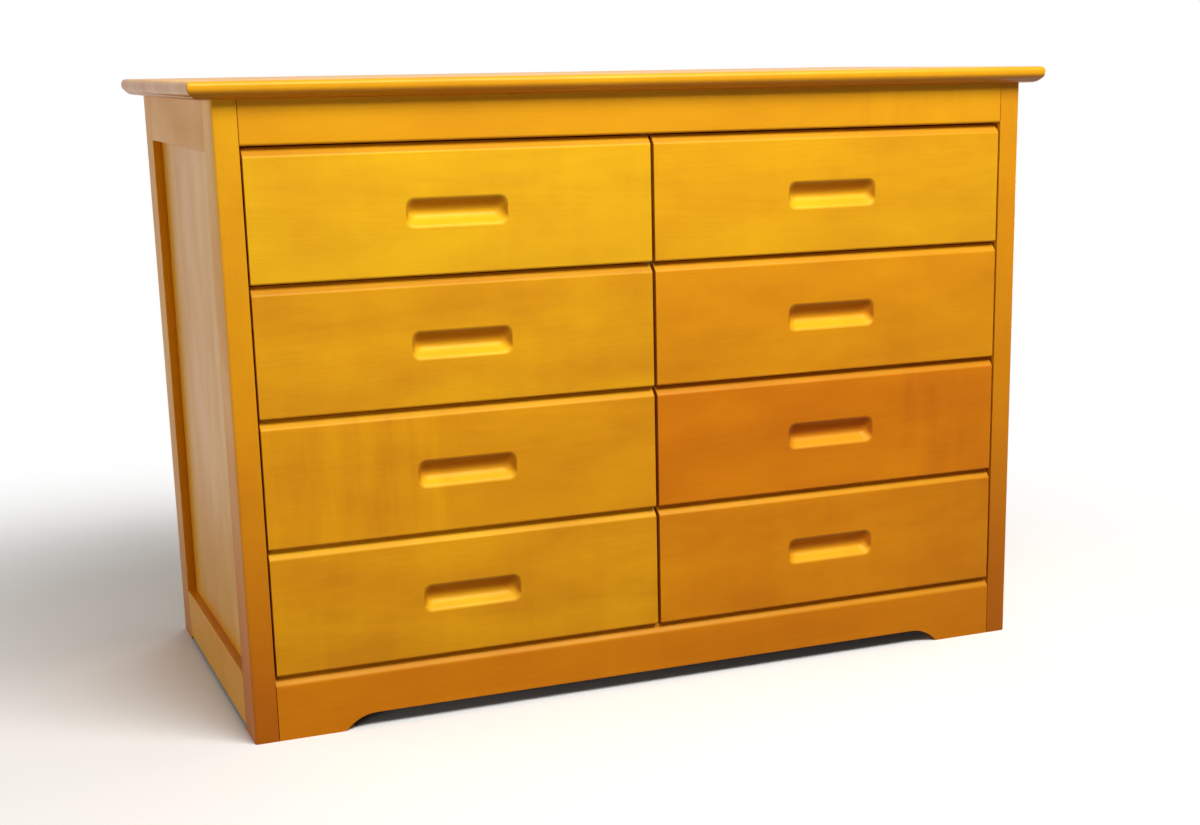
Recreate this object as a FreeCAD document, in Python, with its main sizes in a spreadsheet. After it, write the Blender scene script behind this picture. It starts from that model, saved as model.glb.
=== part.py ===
# A solid maple dresser with four rows and two columns of flush drawers.
# A frame-and-panel case stands on its four posts and carries a profiled top.
# Each drawer runs on two hardwood strips that enter grooves in its sides.
# Millimetres, +Z up, the front faces -Y, and the origin is under the middle of the whole.
import FreeCAD, Part
import os
import re
import Sketcher
from FreeCAD import Placement, Rotation, Vector

doc = FreeCAD.newDocument("dresser")

# Driving sizes, one cell each
SIZES = (
    ("body_width", 1073, "outside of one side to the outside of the other"),
    ("body_depth", 530, "front of the posts to the back"),
    ("body_height", 768, "floor to the underside of the top"),
    ("top_thickness", 21, "top panel"),
    ("top_side_overhang", 28, "top beyond each side"),
    ("top_front_overhang", 20, "top beyond the posts' front"),
    ("top_bevel", 9.5, "bevel under the top's edge"),
    ("top_round", 6.5, "rounding above the top's edge"),
    ("top_nose", 8, "rounding between the top's edge and its bevel"),
    ("post_thickness", 29, "post across the front"),
    ("post_width", 58, "post along the side"),
    ("side_top_rail_height", 60, "upper rail of a side"),
    ("side_bottom_rail_height", 66, "lower rail of a side"),
    ("side_rail_floor_gap", 6, "floor to the lower rail of a side"),
    ("panel_thickness", 8, "side panel"),
    ("panel_recess", 12, "side panel behind the face of its frame"),
    ("panel_groove_depth", 9, "groove that holds a side panel"),
    ("panel_slack", 1, "room for the panel at the bottom of its groove"),
    ("front_rail_thickness", 21, "rails between the front posts"),
    ("front_top_rail_height", 52, "rail above the drawers"),
    ("base_rail_height", 80, "rail below the drawers, from the floor"),
    ("base_cut_height", 19, "cut-out under the base rail"),
    ("base_cut_run", 40, "length of the curve at each end of the cut-out"),
    ("base_foot_length", 84, "base rail's foot beside the post"),
    ("back_rail_thickness", 20, "rails between the back posts"),
    ("back_top_rail_height", 60, "upper back rail"),
    ("back_bottom_rail_height", 70, "lower back rail"),
    ("back_floor_gap", 30, "floor to the lower back rail"),
    ("back_panel_thickness", 6, "back panel"),
    ("back_rebate_width", 10, "back panel's lap on each back post"),
    ("tenon_length", 18, "tenons of the front and back rails"),
    ("tenon_thickness", 10, "tenons of the front and back rails"),
    ("tenon_shoulder", 7, "rail above and below its tenon"),
    ("tenon_slack", 1, "room at the bottom of a mortise"),
    ("partition_thickness", 18, "board between the two columns"),
    ("partition_floor_gap", 20, "floor to the partition"),
    ("drawer_gap", 2, "gap above and below each drawer front"),
    ("drawer_side_gap", 2.5, "gap between a drawer front and its post"),
    ("centre_gap", 4, "gap between the two columns of fronts"),
    ("drawer_front_thickness", 20, "drawer front"),
    ("front_chamfer", 10, "chamfer on top of drawer fronts and base rail"),
    ("front_lower_round", 3, "rounding below the face of a drawer front"),
    ("scoop_length", 121, "finger scoop, inside its rounded mouth"),
    ("scoop_height", 35, "finger scoop, inside its rounded mouth"),
    ("scoop_depth", 13, "finger scoop"),
    ("scoop_corner", 9.5, "corner radius of the scoop's outline"),
    ("scoop_cove", 9, "radius where the scoop's wall meets its floor"),
    ("scoop_mouth", 3.5, "rounding of the scoop's mouth"),
    ("scoop_land", 0.5, "least flat left between two roundings of the scoop"),
    ("scoop_drop", 4, "middle of the scoop below the middle of the front"),
    ("drawer_box_lift", 12, "drawer sides above the front's lower edge"),
    ("drawer_top_drop", 25.25, "drawer sides below the front's upper edge"),
    ("drawer_side_thickness", 13, "drawer side"),
    ("drawer_back_clearance", 19, "drawer to the back rails"),
    ("drawer_stop_gap", 1, "drawer front to the runners and partition behind it"),
    ("drawer_side_clearance", 5.5, "drawer side to the post or partition"),
    ("drawer_dado_depth", 6, "sides let into the back of the front"),
    ("drawer_back_thickness", 12, "drawer back"),
    ("drawer_bottom_thickness", 5, "drawer bottom"),
    ("drawer_bottom_rise", 8, "drawer bottom above the sides' lower edge"),
    ("bottom_groove_depth", 6, "groove for the drawer bottom"),
    ("bottom_slack", 0.5, "room for the bottom at the end of its groove"),
    ("runner_height", 18, "drawer runner"),
    ("runner_thickness", 12, "drawer runner"),
    ("runner_rise", 50, "runner above the sides' lower edge"),
    ("runner_fit", 0.3, "running gap above and below a runner"),
    ("runner_groove_slack", 0.5, "runner to the bottom of its groove"),
    ("block_leg", 30, "corner block along the rail and the post"),
    ("block_height", 20, "corner block"),
    ("block_screw_inset", 10, "screw from the corner block's two faces"),
    ("screw_radius", 2, "shank"),
    ("screw_head_radius", 4, "countersunk head"),
    ("screw_head_height", 2.5, "countersunk head"),
    ("screw_length", 24, "runner screws"),
    ("partition_screw_length", 22, "runner screws in the partition"),
    ("block_screw_length", 32, "corner block screws"),
    ("screw_setback", 18, "runner screws from the runner's ends"),
    ("screw_stagger", 20, "offset of the screws on the partition's two faces"),
)
ROWS = 4
LEFT, RIGHT = -1, 1
COLUMNS = {"left": LEFT, "right": RIGHT}

# Places and sizes that follow from the driving sizes
DERIVED = {
    "front": "(top_front_overhang - body_depth) / 2",
    "back": "(top_front_overhang + body_depth) / 2",
    "half_width": "body_width / 2",
    "inner_half": "half_width - post_thickness",
    "rail_back": "front + front_rail_thickness",
    "back_panel_front": "back - back_panel_thickness",
    "back_panel_half": "inner_half + back_rebate_width",
    "back_rail_front": "back_panel_front - back_rail_thickness",
    "side_opening_front": "front + post_width",
    "side_opening_length": "body_depth - 2 * post_width",
    "panel_tongue": "panel_groove_depth - panel_slack",
    "side_top_rail_bottom": "body_height - side_top_rail_height",
    "side_bottom_rail_top": "side_rail_floor_gap + side_bottom_rail_height",
    "back_top_rail_bottom": "body_height - back_top_rail_height",
    "front_top_rail_bottom": "body_height - front_top_rail_height",
    "cut_half": "inner_half - base_foot_length - base_cut_run",
    "cut_radius": "(base_cut_run ^ 2 + base_cut_height ^ 2) / (2 * base_cut_height)",
    "front_height": f"(front_top_rail_bottom - base_rail_height - {ROWS + 1} * drawer_gap) / {ROWS}",
    "front_width": "inner_half - drawer_side_gap - centre_gap / 2",
    "front_back": "front + drawer_front_thickness",
    "drawer_end": "back_rail_front - drawer_back_clearance",
    "drawer_side_length": "drawer_end - front_back",
    "drawer_side_height": "front_height - drawer_box_lift - drawer_top_drop",
    "scoop_corner_radius": "min(scoop_corner; scoop_height / 2 - scoop_land)",
    "scoop_wall_room": "scoop_depth - scoop_mouth - scoop_land",
    "scoop_cove_radius": "min(scoop_cove; scoop_corner_radius - scoop_land; scoop_wall_room)",
    "box_near": "partition_thickness / 2 + drawer_side_clearance",
    "box_width": "inner_half - drawer_side_clearance - box_near",
    "space_width": "box_width - 2 * drawer_side_thickness",
    "bottom_tongue": "bottom_groove_depth - bottom_slack",
    "drawer_back_height": "drawer_side_height - drawer_bottom_rise - drawer_bottom_thickness",
    "runner_groove_height": "runner_height + 2 * runner_fit",
    "runner_groove_depth": "runner_thickness - drawer_side_clearance + runner_groove_slack",
    "runner_front": "front_back + drawer_stop_gap",
    "runner_length": "back_rail_front - runner_front",
}

sheet = doc.addObject("Spreadsheet::Sheet", "sizes")
for line, (alias, value, note) in enumerate(SIZES, start=1):
    sheet.set(f"A{line}", alias)
    sheet.set(f"B{line}", str(value))
    sheet.setAlias(f"B{line}", alias)
    sheet.set(f"C{line}", note)
doc.recompute()


def formula(text):
    """Turns each named size into its cell and each derived name into its own formula."""
    def cell(word):
        name = word.group()
        if name in DERIVED:
            return f"({formula(DERIVED[name])})"
        return f"sizes.{name}"
    return re.sub(r"\b[a-z][a-z_]+\b(?!\()", cell, str(text))


def bind(piece, **sizes):
    for prop, text in sizes.items():
        piece.setExpression(prop, formula(text))


def place(piece, x, y, z):
    for axis, text in (("x", x), ("y", y), ("z", z)):
        piece.setExpression(f".Placement.Base.{axis}", formula(text))


def box(name, x, y, z):
    """A board; each of x, y and z is its low end and its size."""
    board = doc.addObject("Part::Box", name)
    bind(board, Length=x[1], Width=y[1], Height=z[1])
    place(board, x[0], y[0], z[0])
    return board


def outward(side, near, size):
    """Low end and size, across the dresser, of a stretch that starts near the middle on one side."""
    low = near if side == RIGHT else f"-({near}) - ({size})"
    return low, size


def group(name, pieces):
    bundle = doc.addObject("Part::Compound", name)
    bundle.Links = pieces
    return bundle


def cut(name, base, tools):
    piece = doc.addObject("Part::Cut", name)
    piece.Base = base
    piece.Tool = group(f"{name}_cuts", tools)
    return piece


def fuse(name, pieces):
    piece = doc.addObject("Part::MultiFuse", name)
    piece.Shapes = pieces
    piece.Refine = True
    return piece


nodes = {}


def node(name, piece):
    """Names a finished sub-part."""
    piece.Label = name
    nodes[name] = piece


# Screws: a countersunk head and a plain shank, driven from the head's face
FACING = {"+X": Rotation(Vector(0, 1, 0), 90), "-X": Rotation(Vector(0, 1, 0), -90), "+Z": Rotation()}


def screw(name, facing, at, length):
    head = doc.addObject("Part::Cone", f"{name}_head")
    bind(head, Radius1="screw_head_radius", Radius2="screw_radius", Height="screw_head_height")
    shank = doc.addObject("Part::Cylinder", f"{name}_shank")
    bind(shank, Radius="screw_radius", Height=length)
    whole = fuse(name, [head, shank])
    whole.Placement = Placement(Vector(), FACING[facing])
    place(whole, *at)
    return whole


def row_bottom(row):
    """Lower edge of the drawer fronts in a row, counted from the top."""
    return f"base_rail_height + drawer_gap + {ROWS - row} * (front_height + drawer_gap)"


def runner_bottom(row):
    return f"{row_bottom(row)} + drawer_box_lift + runner_rise"


# Runners: strips on the posts and on the partition, with a screw near each end
SEATS = {
    "left_post": (LEFT, "inner_half - runner_thickness", "inner_half - runner_thickness", "-X"),
    "partition_left": (LEFT, "partition_thickness / 2", "partition_thickness / 2 + runner_thickness", "+X"),
    "partition_right": (RIGHT, "partition_thickness / 2", "partition_thickness / 2 + runner_thickness", "-X"),
    "right_post": (RIGHT, "inner_half - runner_thickness", "inner_half - runner_thickness", "+X"),
}
runners = []
seat_screws = {seat: [] for seat in SEATS}
for seat, (side, near, head_at, facing) in SEATS.items():
    on_partition = seat.startswith("partition")
    length = "partition_screw_length" if on_partition else "screw_length"
    stagger = "screw_stagger" if seat == "partition_right" else "0"
    for row in range(1, ROWS + 1):
        name = f"runner_{seat}_{row}"
        strip = box(f"{name}_strip", outward(side, near, "runner_thickness"),
                    ("runner_front", "runner_length"), (runner_bottom(row), "runner_height"))
        middle = f"{runner_bottom(row)} + runner_height / 2"
        ends = (f"runner_front + screw_setback + {stagger}", f"back_rail_front - screw_setback - {stagger}")
        pair = [screw(f"{name}_screw_{k}", facing, (f"{side} * ({head_at})", y, middle), length)
                for k, y in enumerate(ends)]
        seat_screws[seat] += pair
        runners.append(cut(name, strip, pair))
node("drawer_runners", group("drawer_runners", runners))

# Corner blocks under the top, one against each post, with a screw up into the top
CORNERS = {
    "front_left": (LEFT, "rail_back", 1, 0),
    "front_right": (RIGHT, "rail_back", 1, 90),
    "back_right": (RIGHT, "back_rail_front", -1, 180),
    "back_left": (LEFT, "back_rail_front", -1, 270),
}
blocks = []
block_screws = []
for corner, (side, rail_face, inward, turn) in CORNERS.items():
    wedge = doc.addObject("Part::Wedge", f"block_{corner}_wedge")
    bind(wedge, Xmin=0, Xmax="block_leg", Ymin=0, Ymax="block_leg", Zmin=0, Zmax="block_height",
         X2min=0, X2max=0, Z2min=0, Z2max="block_height")
    wedge.Placement = Placement(Vector(), Rotation(Vector(0, 0, 1), turn))
    place(wedge, f"{side} * inner_half", rail_face, "body_height - block_height")
    screw_at = (f"{side} * (inner_half - block_screw_inset)",
                f"{rail_face} + {inward} * block_screw_inset", "body_height - block_height")
    fixing = screw(f"block_{corner}_screw", "+Z", screw_at, "block_screw_length")
    block_screws.append(fixing)
    blocks.append(cut(f"block_{corner}", wedge, [fixing]))
node("corner_blocks", group("corner_blocks", blocks))
node("screws", group("screws", [one for some in seat_screws.values() for one in some] + block_screws))

# Posts: stiles of the two sides, grooved for the panel and mortised for the rails
RAILS = {
    "front_top": ("front", "front_rail_thickness", "front_top_rail_bottom", "front_top_rail_height"),
    "front_base": ("front", "front_rail_thickness", "0", "base_rail_height"),
    "back_top": ("back_rail_front", "back_rail_thickness", "back_top_rail_bottom", "back_top_rail_height"),
    "back_bottom": ("back_rail_front", "back_rail_thickness", "back_floor_gap", "back_bottom_rail_height"),
}


def tenon(name, rail, side, length):
    """The stub at one end of a rail, or with a longer length the mortise for it."""
    rail_front, thickness, bottom, height = RAILS[rail]
    foot = "base_cut_height" if rail == "front_base" else "0"
    return box(name, outward(side, "inner_half", length),
               (f"{rail_front} + ({thickness} - tenon_thickness) / 2", "tenon_thickness"),
               (f"{bottom} + {foot} + tenon_shoulder", f"{height} - {foot} - 2 * tenon_shoulder"))


panel_near = "half_width - panel_recess - panel_thickness"
for side_name, side in COLUMNS.items():
    for end in ("front", "back"):
        name = f"{end}_{side_name}_post"
        low = "front" if end == "front" else "back - post_width"
        groove_low = "side_opening_front - panel_groove_depth" if end == "front" else low
        stick = box(f"{name}_stick", outward(side, "inner_half", "post_thickness"),
                    (low, "post_width"), (0, "body_height"))
        tools = [box(f"{name}_groove", outward(side, panel_near, "panel_thickness"),
                     (groove_low, "panel_groove_depth"), (0, "body_height"))]
        for rail in RAILS:
            if rail.startswith(end):
                tools.append(tenon(f"{name}_{rail}_mortise", rail, side, "tenon_length + tenon_slack"))
        if end == "back":
            tools.append(box(f"{name}_rebate", outward(side, "inner_half", "back_rebate_width"),
                             ("back_panel_front", "back_panel_thickness"),
                             ("back_floor_gap", "body_height - back_floor_gap")))
        tools += seat_screws[f"{side_name}_post"]
        node(name, cut(name, stick, tools))

# Rails of the sides: tongues in the posts' grooves, and a groove for the panel along one edge
for side_name, side in COLUMNS.items():
    for level, bottom, height, groove_bottom in (
            ("top", "side_top_rail_bottom", "side_top_rail_height", "side_top_rail_bottom"),
            ("bottom", "side_rail_floor_gap", "side_bottom_rail_height",
             "side_bottom_rail_top - panel_groove_depth")):
        name = f"{side_name}_side_{level}_rail"
        board = box(f"{name}_board", outward(side, "inner_half", "post_thickness"),
                    ("side_opening_front", "side_opening_length"), (bottom, height))
        tongues = box(f"{name}_tongues", outward(side, panel_near, "panel_thickness"),
                      ("side_opening_front - panel_tongue", "side_opening_length + 2 * panel_tongue"),
                      (bottom, height))
        groove = box(f"{name}_groove", outward(side, panel_near, "panel_thickness"),
                     ("side_opening_front - panel_tongue", "side_opening_length + 2 * panel_tongue"),
                     (groove_bottom, "panel_groove_depth"))
        node(name, cut(name, fuse(f"{name}_whole", [board, tongues]), [groove]))
    name = f"{side_name}_side_panel"
    node(name, box(name, outward(side, panel_near, "panel_thickness"),
                   ("side_opening_front - panel_tongue", "side_opening_length + 2 * panel_tongue"),
                   ("side_bottom_rail_top - panel_tongue",
                    "side_top_rail_bottom - side_bottom_rail_top + 2 * panel_tongue")))


# Front and back rails, between the posts with a tenon at each end
def rail_stick(name, rail):
    rail_front, thickness, bottom, height = RAILS[rail]
    board = box(f"{name}_board", ("-inner_half", "2 * inner_half"), (rail_front, thickness), (bottom, height))
    stubs = [tenon(f"{name}_tenon_{side_name}", rail, side, "tenon_length")
             for side_name, side in COLUMNS.items()]
    return fuse(f"{name}_stick", [board] + stubs)


for rail in ("front_top", "back_top", "back_bottom"):
    node(f"{rail}_rail", rail_stick(f"{rail}_rail", rail))

# Base rail: a chamfer along its top, and a cut-out whose ends curve down to the feet
base_stick = rail_stick("front_base_rail", "front_base")
middle_cut = box("base_cut_middle", ("-cut_half", "2 * cut_half"),
                 ("front", "front_rail_thickness"), (0, "base_cut_height"))
base_cuts = [middle_cut]
for side_name, side in COLUMNS.items():
    end_cut = doc.addObject("Part::Cylinder", f"base_cut_{side_name}")
    bind(end_cut, Radius="cut_radius", Height="front_rail_thickness")
    end_cut.Placement = Placement(Vector(), Rotation(Vector(1, 0, 0), -90))
    place(end_cut, f"{side} * cut_half", "front", "base_cut_height - cut_radius")
    base_cuts.append(end_cut)
top_wedge = doc.addObject("Part::Wedge", "base_rail_chamfer")
bind(top_wedge, Xmin=0, Xmax="2 * inner_half", X2min=0, X2max="2 * inner_half", Ymin=0, Ymax="front_chamfer",
     Zmin="-front_chamfer", Zmax=0, Z2min=0, Z2max=0)
place(top_wedge, "-inner_half", "front", "base_rail_height")
under_rail = fuse("base_rail_cut_out", base_cuts)
node("front_base_rail", cut("front_base_rail", base_stick, [under_rail, top_wedge]))

# Back panel in the posts' rebates
node("back_panel", box("back_panel", ("-back_panel_half", "2 * back_panel_half"),
                       ("back_panel_front", "back_panel_thickness"),
                       ("back_floor_gap", "body_height - back_floor_gap")))

# Partition between the front and back rails, clear of the drawer fronts
divider = box("partition_board", ("-partition_thickness / 2", "partition_thickness"),
              ("rail_back", "back_rail_front - rail_back"),
              ("partition_floor_gap", "body_height - partition_floor_gap"))
front_room = box("partition_front_room", ("-partition_thickness / 2", "partition_thickness"),
                 ("front", "runner_front - front"),
                 ("base_rail_height", "front_top_rail_bottom - base_rail_height"))
node("centre_partition", cut("centre_partition", divider,
                             [front_room] + seat_screws["partition_left"] + seat_screws["partition_right"]))


# Sketched pieces: rectangles whose corner and size are bound to the sheet
def sketch_on(body, role, name):
    plane = next(part for part in body.Origin.OriginFeatures if part.Role == role)
    sketch = body.newObject("Sketcher::SketchObject", name)
    sketch.AttachmentSupport = [(plane, "")]
    sketch.MapMode = "FlatFace"
    return sketch


def draw_rectangle(sketch, left, bottom, width, height):
    first = sketch.GeometryCount
    corners = [Vector(1, 1, 0), Vector(2, 1, 0), Vector(2, 2, 0), Vector(1, 2, 0)]
    for k in range(4):
        sketch.addGeometry(Part.LineSegment(corners[k], corners[(k + 1) % 4]), False)
    for k in range(4):
        sketch.addConstraint(Sketcher.Constraint("Coincident", first + k, 2, first + (k + 1) % 4, 1))
    for k, kind in enumerate(("Horizontal", "Vertical", "Horizontal", "Vertical")):
        sketch.addConstraint(Sketcher.Constraint(kind, first + k))
    for kind, axis, text in (("DistanceX", -2, left), ("DistanceY", -1, bottom)):
        if text == 0:
            sketch.addConstraint(Sketcher.Constraint("PointOnObject", first, 1, axis))
        else:
            index = sketch.addConstraint(Sketcher.Constraint(kind, -1, 1, first, 1, 1.0))
            sketch.setExpression(f"Constraints[{index}]", formula(text))
    for kind, line, text in (("DistanceX", first, width), ("DistanceY", first + 1, height)):
        index = sketch.addConstraint(Sketcher.Constraint(kind, line, 1, line, 2, 1.0))
        sketch.setExpression(f"Constraints[{index}]", formula(text))


def edges_where(feature, wanted):
    return [f"Edge{k}" for k, edge in enumerate(feature.Shape.Edges, start=1) if wanted(edge.BoundBox)]


def flat_at(value, low, high):
    """True where an edge's range along one axis is a single place."""
    return abs(low - value) < 0.01 and abs(high - value) < 0.01


# Top panel: bevelled below, rounded above and at the nose on its front and two ends, plain at the back
slab = doc.addObject("PartDesign::Body", "top_slab")
slab_outline = sketch_on(slab, "XY_Plane", "top_outline")
draw_rectangle(slab_outline, 0, 0, "body_width + 2 * top_side_overhang", "body_depth + top_front_overhang")
slab_pad = slab.newObject("PartDesign::Pad", "top_board")
slab_pad.Profile = slab_outline
bind(slab_pad, Length="top_thickness")
doc.recompute()
limits = slab_pad.Shape.BoundBox


def show_edges(feature, height):
    return edges_where(feature, lambda b: flat_at(height, b.ZMin, b.ZMax) and b.YMin < limits.YMax - 0.01)


slab_bevel = slab.newObject("PartDesign::Chamfer", "top_bevel_cut")
slab_bevel.Base = (slab_pad, show_edges(slab_pad, limits.ZMin))
bind(slab_bevel, Size="top_bevel")
doc.recompute()
slab_round = slab.newObject("PartDesign::Fillet", "top_rounding")
slab_round.Base = (slab_bevel, show_edges(slab_bevel, limits.ZMax))
bind(slab_round, Radius="top_round")
doc.recompute()
slab_nose = slab.newObject("PartDesign::Fillet", "top_nose_rounding")
slab_nose.Base = (slab_round, show_edges(slab_round, limits.ZMin + sheet.get("top_bevel")))
bind(slab_nose, Radius="top_nose")
place(slab, "-half_width - top_side_overhang", "front - top_front_overhang", "body_height")
doc.recompute()
node("top_panel", cut("top_panel", slab, block_screws))


# Drawer front: chamfered above and rounded below, scooped for the fingers, grooved behind for the box
def drawer_front(name, column, row):
    body = doc.addObject("PartDesign::Body", name)
    outline = sketch_on(body, "XZ_Plane", f"{name}_outline")
    draw_rectangle(outline, 0, 0, "front_width", "front_height")
    board = body.newObject("PartDesign::Pad", f"{name}_board")
    board.Profile = outline
    board.Reversed = True
    bind(board, Length="drawer_front_thickness")
    doc.recompute()
    size = board.Shape.BoundBox
    chamfer = body.newObject("PartDesign::Chamfer", f"{name}_chamfer")
    chamfer.Base = (board, edges_where(
        board, lambda b: flat_at(size.ZMax, b.ZMin, b.ZMax) and flat_at(size.YMin, b.YMin, b.YMax)))
    bind(chamfer, Size="front_chamfer")
    doc.recompute()
    lower_round = body.newObject("PartDesign::Fillet", f"{name}_lower_round")
    lower_round.Base = (chamfer, edges_where(
        chamfer, lambda b: flat_at(size.ZMin, b.ZMin, b.ZMax) and flat_at(size.YMin, b.YMin, b.YMax)))
    bind(lower_round, Radius="front_lower_round")
    doc.recompute()

    scoop_outline = sketch_on(body, "XZ_Plane", f"{name}_scoop_outline")
    draw_rectangle(scoop_outline, "(front_width - scoop_length) / 2",
                   "(front_height - scoop_height) / 2 - scoop_drop", "scoop_length", "scoop_height")
    scoop = body.newObject("PartDesign::Pocket", f"{name}_scoop")
    scoop.Profile = scoop_outline
    bind(scoop, Length="scoop_depth")
    doc.recompute()
    depth = sheet.get("scoop_depth")
    corners = body.newObject("PartDesign::Fillet", f"{name}_scoop_corners")
    corners.Base = (scoop, edges_where(
        scoop, lambda b: abs(b.YLength - depth) < 0.01 and b.XLength < 0.01 and b.ZLength < 0.01))
    bind(corners, Radius="scoop_corner_radius")
    doc.recompute()
    cove = body.newObject("PartDesign::Fillet", f"{name}_scoop_cove")
    cove.Base = (corners, edges_where(corners, lambda b: flat_at(size.YMin + depth, b.YMin, b.YMax)))
    bind(cove, Radius="scoop_cove_radius")
    doc.recompute()
    mouth = body.newObject("PartDesign::Fillet", f"{name}_scoop_mouth")
    mouth.Base = (cove, edges_where(cove, lambda b: flat_at(size.YMin, b.YMin, b.YMax)
                                    and b.XMin > size.XMin + 0.01 and b.XMax < size.XMax - 0.01))
    bind(mouth, Radius="scoop_mouth")
    doc.recompute()

    near_end = "box_near - centre_gap / 2" if column == RIGHT else "drawer_side_clearance - drawer_side_gap"
    far_end = f"{near_end} + box_width - drawer_side_thickness"
    for kind, rectangles, groove_depth in (
            ("dados", [(near_end, "drawer_box_lift", "drawer_side_thickness", "drawer_side_height"),
                       (far_end, "drawer_box_lift", "drawer_side_thickness", "drawer_side_height")],
             "drawer_dado_depth"),
            ("bottom_groove", [(f"{near_end} + drawer_side_thickness", "drawer_box_lift + drawer_bottom_rise",
                                "space_width", "drawer_bottom_thickness")], "bottom_groove_depth")):
        behind = sketch_on(body, "XZ_Plane", f"{name}_{kind}_outline")
        behind.setExpression(".AttachmentOffset.Base.z", formula("-drawer_front_thickness"))
        for rectangle in rectangles:
            draw_rectangle(behind, *rectangle)
        pocket = body.newObject("PartDesign::Pocket", f"{name}_{kind}")
        pocket.Profile = behind
        pocket.Reversed = True
        bind(pocket, Length=groove_depth)
        doc.recompute()
    left_edge = "centre_gap / 2" if column == RIGHT else "-inner_half + drawer_side_gap"
    place(body, left_edge, "front", row_bottom(row))
    return body


# Drawers: front, two sides grooved for the runners, a back and a bottom let into grooves
for column_name, column in COLUMNS.items():
    for row in range(1, ROWS + 1):
        drawer = f"drawer_{column_name}_{row}"
        box_bottom = f"{row_bottom(row)} + drawer_box_lift"
        bottom_low = f"{box_bottom} + drawer_bottom_rise"
        back_low = f"{bottom_low} + drawer_bottom_thickness"
        side_y = ("front_back - drawer_dado_depth", "drawer_side_length + drawer_dado_depth")
        node(f"{drawer}_front", drawer_front(f"{drawer}_front", column, row))
        for hand, inner in (("left", column == RIGHT), ("right", column == LEFT)):
            name = f"{drawer}_{hand}_side"
            near = "box_near" if inner else "box_near + box_width - drawer_side_thickness"
            runner_near = "box_near" if inner else "box_near + box_width - runner_groove_depth"
            groove_near = "box_near + drawer_side_thickness - bottom_groove_depth" if inner else near
            board = box(f"{name}_board", outward(column, near, "drawer_side_thickness"), side_y,
                        (box_bottom, "drawer_side_height"))
            runner_groove = box(f"{name}_runner_groove", outward(column, runner_near, "runner_groove_depth"),
                                side_y, (f"{runner_bottom(row)} - runner_fit", "runner_groove_height"))
            bottom_groove = box(f"{name}_bottom_groove", outward(column, groove_near, "bottom_groove_depth"),
                                side_y, (bottom_low, "drawer_bottom_thickness"))
            node(name, cut(name, board, [runner_groove, bottom_groove]))
        space_near = "box_near + drawer_side_thickness"
        node(f"{drawer}_back", box(f"{drawer}_back", outward(column, space_near, "space_width"),
                                   ("drawer_end - drawer_back_thickness", "drawer_back_thickness"),
                                   (back_low, "drawer_back_height")))
        node(f"{drawer}_bottom", box(f"{drawer}_bottom",
                                     outward(column, f"{space_near} - bottom_tongue",
                                             "space_width + 2 * bottom_tongue"),
                                     ("front_back - bottom_tongue", "drawer_side_length + bottom_tongue"),
                                     (bottom_low, "drawer_bottom_thickness")))

# Every object and every sub-part is sound before anything is written
doc.recompute()
faulty = [piece.Name for piece in doc.Objects if "Invalid" in piece.State or "Error" in piece.State]
if faulty:
    raise RuntimeError(f"not built: {faulty}")
for name, piece in nodes.items():
    if piece.Shape.isNull() or not piece.Shape.isValid() or not piece.Shape.Solids:
        raise RuntimeError(f"bad shape: {name}")
    if piece.Label != name:
        raise RuntimeError(f"two sub-parts share the name {name}")

os.makedirs("parts", exist_ok=True)
for name, piece in nodes.items():
    piece.Shape.exportStep(f"parts/{name}.step")
    print(name, len(piece.Shape.Solids), round(piece.Shape.Volume))
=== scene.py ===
import math
import random
import bmesh
import bpy
import numpy as np
from mathutils import Matrix, Vector


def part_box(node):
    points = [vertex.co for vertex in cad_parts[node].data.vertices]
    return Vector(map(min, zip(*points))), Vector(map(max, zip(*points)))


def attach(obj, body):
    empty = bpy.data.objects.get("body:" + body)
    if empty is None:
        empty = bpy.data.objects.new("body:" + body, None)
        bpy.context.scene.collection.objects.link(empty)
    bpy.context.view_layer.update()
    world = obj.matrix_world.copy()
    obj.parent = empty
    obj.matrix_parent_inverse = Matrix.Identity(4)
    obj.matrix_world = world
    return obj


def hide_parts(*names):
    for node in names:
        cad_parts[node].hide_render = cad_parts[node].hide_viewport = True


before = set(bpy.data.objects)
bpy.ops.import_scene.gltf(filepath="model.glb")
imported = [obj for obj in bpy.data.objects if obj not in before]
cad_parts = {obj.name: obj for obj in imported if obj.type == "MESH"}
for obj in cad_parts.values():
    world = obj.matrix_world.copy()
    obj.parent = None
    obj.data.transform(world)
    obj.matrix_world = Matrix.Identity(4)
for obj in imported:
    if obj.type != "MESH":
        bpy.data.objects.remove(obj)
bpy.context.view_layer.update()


# Posts: four sticks of solid maple, the stiles of the two sides, standing straight on the floor.
# They are planed square, mortised for the rails and grooved for the side panels, and their arrises
# are eased with sandpaper before the whole case is sprayed with a clear amber lacquer.
POSTS = {"front_left_post": (1.0, 0.25), "back_left_post": (0.5, 0.5),
         "front_right_post": (1.0, 0.55), "back_right_post": (0.5, 0.5)}  # tone at the foot and the head
POST_EASE, POST_CORNER, FOOT_DARK_HEIGHT = 0.0013, 0.0035, 0.40
EASE_STEPS, FLAT_ANGLE, SHARP_ANGLE, SMOOTH_ANGLE = 4, 0.01, 0.5, math.radians(38)
SAME_POINT, ON_LINE = 1e-6, 1e-5
OUT_OF_REACH = 1.0  # moves a hidden arris away, so that it isn't eased
chance = random.Random(16)


def linear(written):
    """A written sRGB colour as the linear values that a shader takes."""
    parts = [int(written[k:k + 2], 16) / 255 for k in (1, 3, 5)]
    return *(p / 12.92 if p <= 0.04045 else ((p + 0.055) / 1.055) ** 2.4 for p in parts), 1.0


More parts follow.
